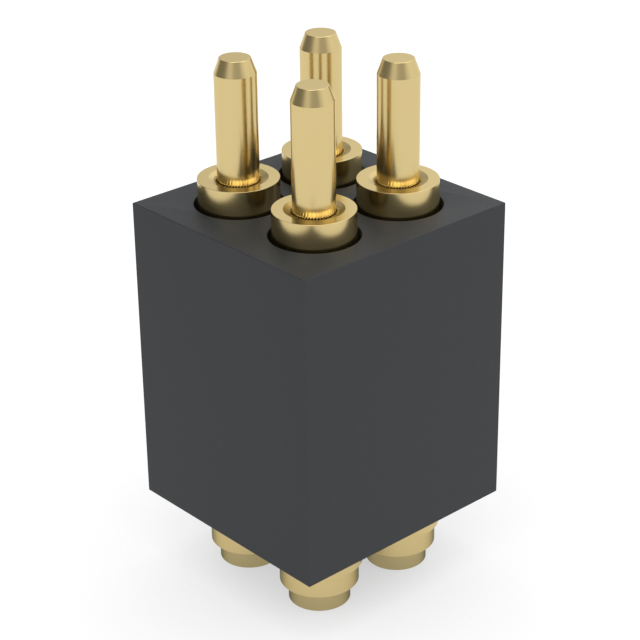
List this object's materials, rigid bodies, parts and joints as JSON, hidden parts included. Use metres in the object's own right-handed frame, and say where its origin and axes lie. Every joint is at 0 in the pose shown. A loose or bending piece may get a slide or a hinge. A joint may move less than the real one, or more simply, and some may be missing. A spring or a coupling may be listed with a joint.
{
  "type": "pogo pin connector",
  "caption": "Spring-loaded pogo pin connector: gold plungers slide in stepped barrels pressed through a black moulded block, with stepped solder tails below.",
  "frame": {"origin": "centred between the four tails, in the plane of their flat ends, where the connector stands on its board", "axes": "+Z from the tails to the contact tips, X along the block's 6.10 mm side, Y along its 5.84 mm side"},
  "size_m": [0.006, 0.0058, 0.0128],
  "materials": {
    "housing_nylon": "matte moulded glass-filled nylon, near black",
    "gold_plated_brass": "smooth gold plating over turned brass",
    "spring_steel": "bright drawn stainless wire"
  },
  "bodies": {
    "connector": {"housing": "housing_nylon", "barrel_front_left": "gold_plated_brass", "barrel_front_right": "gold_plated_brass", "barrel_back_left": "gold_plated_brass", "barrel_back_right": "gold_plated_brass", "spring_front_left": "spring_steel", "spring_front_right": "spring_steel", "spring_back_left": "spring_steel", "spring_back_right": "spring_steel"},
    "plunger_front_left": {"plunger_front_left": "gold_plated_brass"},
    "plunger_front_right": {"plunger_front_right": "gold_plated_brass"},
    "plunger_back_left": {"plunger_back_left": "gold_plated_brass"},
    "plunger_back_right": {"plunger_back_right": "gold_plated_brass"}
  },
  "joints": [
    {"name": "press_front_left", "type": "slide", "parent": "connector", "child": "plunger_front_left", "axis": [0, 0, -1], "range_m": [0, 0.00229], "stiffness_N_per_m": 334, "springref_m": -0.00075, "deforming": ["spring_front_left"]},
    {"name": "press_front_right", "type": "slide", "parent": "connector", "child": "plunger_front_right", "axis": [0, 0, -1], "range_m": [0, 0.00229], "stiffness_N_per_m": 334, "springref_m": -0.00075, "deforming": ["spring_front_right"]},
    {"name": "press_back_left", "type": "slide", "parent": "connector", "child": "plunger_back_left", "axis": [0, 0, -1], "range_m": [0, 0.00229], "stiffness_N_per_m": 334, "springref_m": -0.00075, "deforming": ["spring_back_left"]},
    {"name": "press_back_right", "type": "slide", "parent": "connector", "child": "plunger_back_right", "axis": [0, 0, -1], "range_m": [0, 0.00229], "stiffness_N_per_m": 334, "springref_m": -0.00075, "deforming": ["spring_back_right"]}
  ]
}
